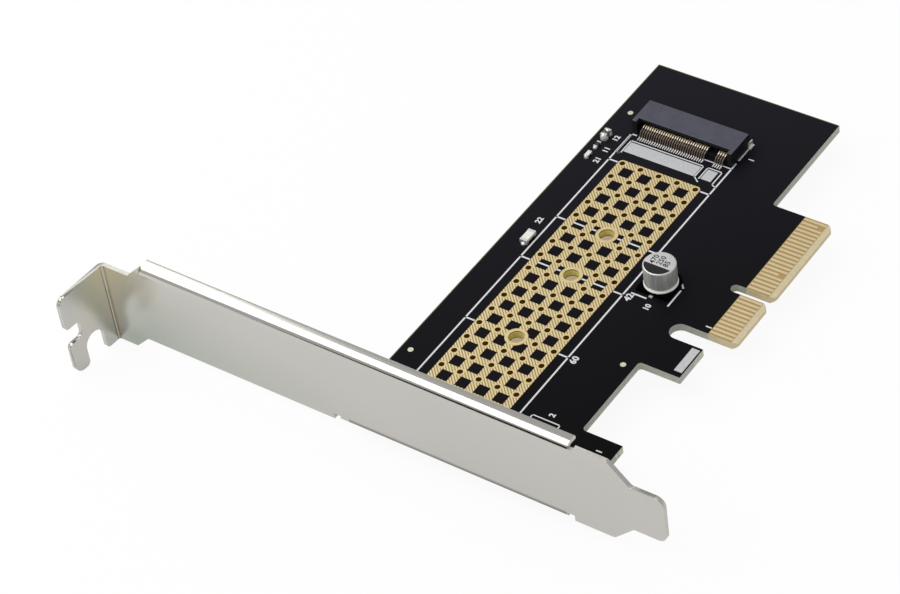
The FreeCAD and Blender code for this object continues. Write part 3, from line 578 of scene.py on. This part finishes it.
# Drawn aluminium: bright, with fine lines up the side where the die pulled it, a plain top, and a
# foot ring that is less metallic and painted white, as a painted highlight.
can_metal, tree, into, place = start("drawn_aluminium", Roughness=0.42)
pulled = add(tree, "ShaderNodeMapping", {"Vector": place, "Scale": CAN_GRAINS})
streaks = add(tree, "ShaderNodeTexNoise", {"Vector": pulled, "Scale": 1.6, "Detail": 4.0})
shade = add(tree, "ShaderNodeMix", {0: streaks, 6: linear(CAN_DARK), 7: linear(CAN_LIGHT)}, **BLEND)
height = add(tree, "ShaderNodeSeparateXYZ", {0: place}, out=2)
foot = add(tree, "ShaderNodeMath", {0: height, 1: CAN_FOOT_TOP + CAN_FOOT_EDGE / 2}, operation="LESS_THAN")
shade = add(tree, "ShaderNodeMix", {0: foot, 6: shade, 7: linear(CAN_FOOT_PAINTED_HIGHLIGHT)}, **BLEND)
tree.links.new(shade, into["Base Color"])
painted_light_part = add(tree, "ShaderNodeMapRange", {0: foot, 3: CAN_METALLIC, 4: CAN_FOOT_METALLIC})
tree.links.new(painted_light_part, into["Metallic"])
bump = add(tree, "ShaderNodeBump", {"Strength": 0.15, "Distance": 0.02 * MM, "Height": streaks})
tree.links.new(bump, into["Normal"])

mesh = bmesh.new()
outline = [(0.0, CAN_LOW.z), (CAN_FOOT_R - CAN_FOOT_EDGE, CAN_LOW.z),
           (CAN_FOOT_R, CAN_LOW.z + CAN_FOOT_EDGE), (CAN_FOOT_R, CAN_FOOT_SIDE),
           (CAN_FOOT_R - CAN_FOOT_EDGE, CAN_FOOT_TOP),
           (CAN_NECK_R, (CAN_FOOT_TOP + CAN_NECK_TOP) / 2), (CAN_R, CAN_NECK_TOP)]
outline += quarter(CAN_R - CAN_EDGE_R, CAN_HIGH.z - CAN_EDGE_R, CAN_EDGE_R, CAN_EDGE_R, CAN_EDGE_PARTS)
turned(mesh, CAN_MIDDLE, outline + [(0.0, CAN_HIGH.z)], CAN_STEPS)
can = piece("aluminium_can", mesh, can_metal)
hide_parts("capacitor_can")
smooth(can, CAN_SHARP)

# Pad-printed ink: a dense black on the metal, slightly glossy.
can_ink = mottled("black_pad_print", "#0C0C0E", "#1C1C20", per_mm=3.0, Roughness=0.35,
                  Specular_IOR_Level=INK_SHINE)

mesh = bmesh.new()
lift = Matrix.Translation((CAN_MIDDLE[0], CAN_MIDDLE[1], CAN_HIGH.z + CAN_INK_T / 2))
bmesh.ops.create_cone(mesh, cap_ends=True, segments=CAN_STEPS, radius1=CAN_INK_R, radius2=CAN_INK_R,
                      depth=CAN_INK_T, matrix=lift)
cut = bmesh.ops.bisect_plane(mesh, geom=mesh.verts[:] + mesh.edges[:] + mesh.faces[:],
                             plane_co=(CAN_MIDDLE[0] + SEGMENT_CHORD, 0.0, 0.0),
                             plane_no=(1.0, 0.0, 0.0), clear_outer=True)
bmesh.ops.edgeloop_fill(mesh, edges=[edge for edge in cut["geom_cut"]
                                     if isinstance(edge, bmesh.types.BMEdge)])
for text, shift_x, shift_y in CAN_DIGITS:
    figures(mesh, text, (CAN_MIDDLE[0] + shift_x, CAN_MIDDLE[1] + shift_y), CAN_DIGIT_H,
            base=CAN_HIGH.z - PRINT_T + CAN_INK_T, weight=CAN_DIGIT_WEIGHT)
piece("can_print", mesh, can_ink)

# Moulded plinth: matt black plastic, painted darker than the plastic, as painted shade under the can.
plinth = mottled("moulded_black_plastic", "#010101", "#040405", per_mm=4.0, relief=(0.25, 0.02),
                 Roughness=0.5, Specular_IOR_Level=0.01)
wear(plinth, "capacitor_base")


# Chip parts and their solder: a ceramic capacitor, a resistor and two indicator LEDs. Solder has
# run up each of their ends and set as a bright dome that nearly hides it.

LED_CARRIER_TOP = BOARD_HIGH.z + 0.35
LED_CARRIER = "#2A2A24"
RESIN_DARK = "#E2DFD2"
RESIN_LIGHT = "#F8F6EE"

# Each dome's middle, its radius on the board and its height.
SOLDER_DOMES = ((23.72, 50.35, 0.8, 1.3), (25.15, 50.35, 0.8, 1.3), (17.55, 50.45, 0.46, 0.66),
                (18.85, 50.45, 0.46, 0.66), (20.6, 50.45, 0.42, 0.5), (22.2, 50.45, 0.36, 0.35),
                (-7.85, 47.85, 0.5, 0.4), (-4.75, 47.85, 0.5, 0.4))
DOME_PARTS = 4
DOME_STEPS = 20
DOME_SHARP = 60

# Fired ceramic: the capacitor is grey-brown and the resistor black, both fine-grained and matt.
wear(mottled("barium_titanate_ceramic", "#4E453C", "#6E6256", per_mm=6.0, Roughness=0.55),
     "chip_capacitor_body")
wear(mottled("glazed_alumina", "#141416", "#2A2A2E", per_mm=6.0, Roughness=0.55), "chip_resistor_body")

# Cast resin: milky, a little warm, and soft-edged because light spreads inside it. It stands on a
# thin dark carrier.
resin, tree, into, place = start("cast_epoxy_resin", Roughness=0.35)
cloud = add(tree, "ShaderNodeTexNoise", {"Vector": place, "Scale": 2.0, "Detail": 3.0})
shade = add(tree, "ShaderNodeMix", {0: cloud, 6: linear(RESIN_DARK), 7: linear(RESIN_LIGHT)}, **BLEND)
height = add(tree, "ShaderNodeSeparateXYZ", {0: place}, out=2)
carrier = add(tree, "ShaderNodeMath", {0: height, 1: LED_CARRIER_TOP}, operation="LESS_THAN")
shade = add(tree, "ShaderNodeMix", {0: carrier, 6: shade, 7: linear(LED_CARRIER)}, **BLEND)
tree.links.new(shade, into["Base Color"])
wear(resin, "indicator_led_bodies")

mesh = bmesh.new()
for dome_x, dome_y, reach, rise in SOLDER_DOMES:
    arc = quarter(0.0, BOARD_HIGH.z, reach, rise, DOME_PARTS)[:-1]
    turned(mesh, (dome_x, dome_y), [(0.0, BOARD_HIGH.z)] + arc + [(0.0, BOARD_HIGH.z + rise)], DOME_STEPS)
smooth(piece("solder_domes", mesh, tin), DOME_SHARP)


# Bracket: one sheet of nickel-plated steel, stamped and then folded at the lip, the tab and the
# flange that the board is screwed to. Stamping leaves its edges slightly round.

SAME_POINT = 1e-6
FLAT_ANGLE = math.radians(0.5)
SHARP_ANGLE = math.radians(35)
TOUCH = 0.01
SHEET_T = 0.86
STAMPED_EDGE_R = 0.18
LIP_BACK_X = -55.75
LIP_EDGE_R = 0.4
LIP_EDGE_PARTS = 3
SCREW_EDGE_R = 0.08
NICKEL_DARK = "#C3C3BC"
NICKEL_LIGHT = "#CCC8C3"
NICKEL_ROUGHNESS = 0.26
LIP_ROUGHNESS = 0.16
LIP_FROM_Z = 14.0
LIP_TO_Z = 15.0
ROLLED_GRAINS = (1.0, 0.08, 1.0)
TAB_FOLD_AXIS = (-59.15, 104.05, 0.0)
TAB_FOLD_REACH = 0.508
TAB_FOLD_SHADE = "#B6B09F"
FLANGE_FOLD_FROM_Z = -0.5
FLANGE_FOLD_TO_Z = -1.0
FLANGE_FOLD_SHADE = "#908C86"
FLANGE_MIDDLE_Y = 28.4
FLANGE_HALF = 22.9

# The plating is painted warmer and lighter by the tab's fold and cooler and darker low on the long
# face, as painted reflections. Each tint has the stretches over which it sets in: an axis, the place
# where there is none of it, and the place where it is full.
NICKEL_PAINTED_REFLECTIONS = (("#D8D3BF", (("Y", 88.0, 104.0), ("Z", -3.0, 12.0), ("X", -68.0, -62.0))),
                ("#B4BAB0", (("Y", 40.0, 95.0), ("Z", 12.0, -3.0), ("X", -61.0, -59.0),
                             ("Y", 104.0, 100.0))))


def cleaned(node):
    """A CAD node's mesh with its triangles merged into whole faces, in millimetres."""
    mesh = bmesh.new()
    mesh.from_mesh(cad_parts[node].data)
    bmesh.ops.remove_doubles(mesh, verts=mesh.verts, dist=SAME_POINT)
    bmesh.ops.dissolve_limit(mesh, angle_limit=FLAT_ANGLE, verts=mesh.verts, edges=mesh.edges,
                             use_dissolve_boundaries=False)
    bmesh.ops.scale(mesh, verts=mesh.verts, vec=(1 / MM, 1 / MM, 1 / MM))
    return mesh


def sharp_edges(mesh):
    """The edges where two faces meet at more than the smooth angle of a fold."""
    return [edge for edge in mesh.edges if edge.is_manifold and edge.calc_face_angle() > SHARP_ANGLE]


def rounded(mesh, edges, radius, segments=2):
    """Rounds edges of a mesh."""
    bmesh.ops.bevel(mesh, geom=edges, offset=radius, segments=segments, affect="EDGES", profile=0.5,
                    material=-1, clamp_overlap=True)


def stands_for(made, node):
    """Gives a softened copy even normals and puts it in its CAD node's place."""
    made.data.shade_smooth()
    weights = made.modifiers.new("even_normals", "WEIGHTED_NORMAL")
    weights.weight = 100
    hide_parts(node)


# Bright nickel: a warm grey mirror with a soft haze, so it shows the room as broad gradients. Painted
# shade darkens the inside of the tab's fold and draws a darker line along the flange's fold under the
# face, and the lip is burnished by the tool that turned it over.
nickel, tree, into, place = start("nickel_plated_steel", Metallic=1.0)
axes = add(tree, "ShaderNodeSeparateXYZ", {0: place}).node.outputs
cloud = add(tree, "ShaderNodeTexNoise", {"Vector": place, "Scale": 0.04, "Detail": 2.0})
shade = add(tree, "ShaderNodeMix", {0: cloud, 6: linear(NICKEL_DARK), 7: linear(NICKEL_LIGHT)}, **BLEND)
for tint, stretches in NICKEL_PAINTED_REFLECTIONS:
    share = 1.0
    for axis, none_at, full_at in stretches:
        part = add(tree, "ShaderNodeMapRange", {0: axes[axis], 1: none_at, 2: full_at})
        share = add(tree, "ShaderNodeMath", {0: share, 1: part}, operation="MULTIPLY")
    shade = add(tree, "ShaderNodeMix", {0: share, 6: shade, 7: linear(tint)}, **BLEND)
# Painted shade inside the tab's fold.
across = add(tree, "ShaderNodeVectorMath", {0: place, 1: (1.0, 1.0, 0.0)}, operation="MULTIPLY")
away = add(tree, "ShaderNodeVectorMath", {0: across, 1: TAB_FOLD_AXIS}, out=1, operation="DISTANCE")
painted_light_part = add(tree, "ShaderNodeMath", {0: away, 1: TAB_FOLD_REACH}, operation="LESS_THAN")
shade = add(tree, "ShaderNodeMix", {0: painted_light_part, 6: shade, 7: linear(TAB_FOLD_SHADE)}, **BLEND)
# Painted shade: a darker line along the flange's fold under the face.
below = add(tree, "ShaderNodeMapRange", {0: axes["Z"], 1: FLANGE_FOLD_FROM_Z, 2: FLANGE_FOLD_TO_Z})
off = add(tree, "ShaderNodeMath", {0: axes["Y"], 1: FLANGE_MIDDLE_Y}, operation="SUBTRACT")
off = add(tree, "ShaderNodeMath", {0: off}, operation="ABSOLUTE")
along = add(tree, "ShaderNodeMath", {0: off, 1: FLANGE_HALF}, operation="LESS_THAN")
below = add(tree, "ShaderNodeMath", {0: below, 1: along}, operation="MULTIPLY")
shade = add(tree, "ShaderNodeMix", {0: below, 6: shade, 7: linear(FLANGE_FOLD_SHADE)}, **BLEND)
tree.links.new(shade, into["Base Color"])
burnished = add(tree, "ShaderNodeMapRange", {0: axes["Z"], 1: LIP_FROM_Z, 2: LIP_TO_Z, 3: NICKEL_ROUGHNESS,
                                             4: LIP_ROUGHNESS})
tree.links.new(burnished, into["Roughness"])
rolled = add(tree, "ShaderNodeMapping", {"Vector": place, "Scale": ROLLED_GRAINS})
haze = add(tree, "ShaderNodeTexNoise", {"Vector": rolled, "Scale": 3.0, "Detail": 4.0})
bump = add(tree, "ShaderNodeBump", {"Strength": 0.04, "Distance": 0.02 * MM, "Height": haze})
tree.links.new(bump, into["Normal"])

# Sheared edge: the tear left by the die is rough under the plating, so it looks darker and matt.
sheared = mottled("sheared_and_plated_edge", "#B4B2A8", "#DCDAD4", per_mm=1.5, detail=4.0,
                  relief=(0.3, 0.03), Metallic=0.9, Roughness=0.4)

# Faces that are wider than the sheet is thick are its two sides. From them the search goes on round
# the folds, over every edge that isn't sharp, and what it doesn't reach is the stamped edge.
mesh = cleaned("bracket")
sheet = {face for face in mesh.faces if 2 * face.calc_area() / face.calc_perimeter() > SHEET_T}
front = list(sheet)
while front:
    face = front.pop()
    for edge in face.edges:
        for other in edge.link_faces:
            if other not in sheet and edge.calc_face_angle(0.0) < SHARP_ANGLE:
                sheet.add(other)
                front.append(other)
for face in mesh.faces:
    face.material_index = 0 if face in sheet else 1
lip_top = max(vert.co.z for vert in mesh.verts)
lip_edge = [edge for edge in sharp_edges(mesh)
            if min(vert.co.z for vert in edge.verts) > lip_top - TOUCH
            and min(vert.co.x for vert in edge.verts) > LIP_BACK_X - TOUCH]
rounded(mesh, lip_edge, LIP_EDGE_R, LIP_EDGE_PARTS)
rounded(mesh, sharp_edges(mesh), STAMPED_EDGE_R)
bracket = piece("folded_bracket", mesh, nickel)
bracket.data.materials.append(sheared)
stands_for(bracket, "bracket")

mesh = cleaned("bracket_screws")
rounded(mesh, sharp_edges(mesh), SCREW_EDGE_R)
stands_for(piece("pan_head_screws", mesh, nickel), "bracket_screws")


# Studio, in metres: a white floor, an even world, one large soft lamp overhead, and the camera where
# the photograph was taken from.

WHITE = "#FFFFFF"
FLOOR_Z = loaded_box[0].z - 0.0002
FLOOR_W = 4.0
FLOOR_PAPER = "#F4F4F4"
FLOOR_SEEN = 0.93
FLOOR_IN_METAL = 0.5
UNDER_MIDDLE = (-0.003, 0.036)
UNDER_HALF = (0.034, 0.018)
UNDER_FADE = 0.012
UNDER_PAINTED_SHADOW = 0.46
UNDER_PAINTED_BOUNCE = "#FFE2B6"
UNDER_TINT_END = 0.4

# White paper: it glows evenly to the camera, and half as much to metal that mirrors it. Under the
# middle of the card, as seen through the module's holes, its glow is cut down, which shows the paper's
# own shadow and adds a painted shadow, and it is tinted warm as a painted bounce from the gold round them.
paper, tree, into, place = start("white_paper", Base_Color=linear(FLOOR_PAPER), Roughness=0.9)
ray = add(tree, "ShaderNodeLightPath").node.outputs
seen = add(tree, "ShaderNodeMath", {0: ray["Is Camera Ray"], 1: ray["Is Transmission Ray"]},
           operation="MAXIMUM")
seen = add(tree, "ShaderNodeMath", {0: seen, 1: FLOOR_SEEN}, operation="MULTIPLY")
mirrored = add(tree, "ShaderNodeMath", {0: ray["Is Glossy Ray"], 1: FLOOR_IN_METAL}, operation="MULTIPLY")
seen = add(tree, "ShaderNodeMath", {0: seen, 1: mirrored}, operation="MAXIMUM")
metres = add(tree, "ShaderNodeTexCoord", out=3)
x, y, z = add(tree, "ShaderNodeSeparateXYZ", {0: metres}).node.outputs
in_open = 0.0
for along, middle, half in zip((x, y), UNDER_MIDDLE, UNDER_HALF):
    off = add(tree, "ShaderNodeMath", {0: along, 1: middle}, operation="SUBTRACT")
    off = add(tree, "ShaderNodeMath", {0: off}, operation="ABSOLUTE")
    outside = add(tree, "ShaderNodeMapRange", {0: off, 1: half - UNDER_FADE, 2: half})
    in_open = add(tree, "ShaderNodeMath", {0: in_open, 1: outside}, operation="MAXIMUM")
# Painted shadow and painted warm bounce under the middle of the card.
share = add(tree, "ShaderNodeMapRange", {0: in_open, 3: UNDER_PAINTED_SHADOW, 4: 1.0})
seen = add(tree, "ShaderNodeMath", {0: seen, 1: share}, operation="MULTIPLY")
untinted = add(tree, "ShaderNodeMapRange", {0: in_open, 2: UNDER_TINT_END})
tone = add(tree, "ShaderNodeMix", {0: untinted, 6: linear(UNDER_PAINTED_BOUNCE), 7: linear(WHITE)}, **BLEND)
glow = add(tree, "ShaderNodeEmission", {"Color": tone, "Strength": 1.0})
body = tree.nodes["Principled BSDF"].outputs[0]
surface = add(tree, "ShaderNodeMixShader", {0: seen, 1: body, 2: glow})
tree.links.new(surface, tree.nodes["Material Output"].inputs["Surface"])

mesh = bmesh.new()
bmesh.ops.create_grid(mesh, x_segments=1, y_segments=1, size=FLOOR_W / 2)
bmesh.ops.translate(mesh, verts=mesh.verts, vec=(0.0, 0.0, FLOOR_Z))
floor = stand("floor", mesh, paper)

# The world is white to the camera and dimmer as a light, and metal mirrors a level between the two.
WORLD_LIGHT = 0.5
WORLD_IN_METAL = 0.56

world = bpy.data.worlds.new("studio")
bpy.context.scene.world = world
world.use_nodes = True
tree = world.node_tree
sky = tree.nodes["Background"]
sky.inputs["Color"].default_value = linear(WHITE)
ray = add(tree, "ShaderNodeLightPath").node.outputs
seen = add(tree, "ShaderNodeMath", {0: ray["Is Camera Ray"], 1: ray["Is Transmission Ray"]},
           operation="MAXIMUM")
seen = add(tree, "ShaderNodeMapRange", {0: seen, 3: WORLD_LIGHT, 4: 1.0})
mirrored = add(tree, "ShaderNodeMath", {0: ray["Is Glossy Ray"], 1: WORLD_IN_METAL}, operation="MULTIPLY")
seen = add(tree, "ShaderNodeMath", {0: seen, 1: mirrored}, operation="MAXIMUM")
tree.links.new(seen, sky.inputs["Strength"])

SOFTBOX_PLACE = (-0.19, 0.55, 0.6)
SOFTBOX_TURN = 45.0
SOFTBOX_SIZE = (1.07, 0.87)
SOFTBOX_LEVEL = 1.92

lamp = bpy.data.objects.new("softbox", bpy.data.lights.new("softbox", "AREA"))
bpy.context.collection.objects.link(lamp)
lamp.location = SOFTBOX_PLACE
lamp.rotation_euler = (0.0, 0.0, math.radians(SOFTBOX_TURN))
lamp.data.shape = "RECTANGLE"
lamp.data.size = SOFTBOX_SIZE[0]
lamp.data.size_y = SOFTBOX_SIZE[1]
lamp.data.energy = SOFTBOX_LEVEL * math.pi * SOFTBOX_SIZE[0] * SOFTBOX_SIZE[1]
lamp.visible_camera = False

# A dark card beside the bracket, out of the picture, draws the dark line along the fold of its lip.
# It only shows in metal.
FLAG_X = -0.16
FLAG_Y = (-0.25, 0.14)
FLAG_TOP = 0.05
FLAG_SLOPE_Y = 0.075
FLAG_END_TOP = 0.0
FLAG_FELT = "#2E2A28"

felt, tree, into, place = start("black_felt", Base_Color=linear(FLAG_FELT), Roughness=0.9,
                                Specular_IOR_Level=0.0)
mesh = bmesh.new()
corners = ((FLAG_Y[0], FLOOR_Z), (FLAG_Y[1], FLOOR_Z), (FLAG_Y[1], FLAG_END_TOP), (FLAG_SLOPE_Y, FLAG_TOP),
           (FLAG_Y[0], FLAG_TOP))
mesh.faces.new([mesh.verts.new((FLAG_X, *corner)) for corner in corners])
flag = stand("dark_card", mesh, felt)
for ray_kind in ("camera", "diffuse", "shadow", "transmission"):
    setattr(flag, "visible_" + ray_kind, False)

CAMERA_PLACE = (-0.34312, -0.221648, 0.395339)
CAMERA_TURN = (46.3571, 6.5693, -55.4552)
CAMERA_LENS = 127.255

camera = bpy.data.objects.new("camera", bpy.data.cameras.new("camera"))
bpy.context.collection.objects.link(camera)
camera.location = CAMERA_PLACE
camera.rotation_euler = Euler([math.radians(angle) for angle in CAMERA_TURN])
camera.data.lens = CAMERA_LENS
camera.data.clip_start = 0.01
bpy.context.scene.camera = camera

bpy.context.scene.view_settings.view_transform = "Standard"
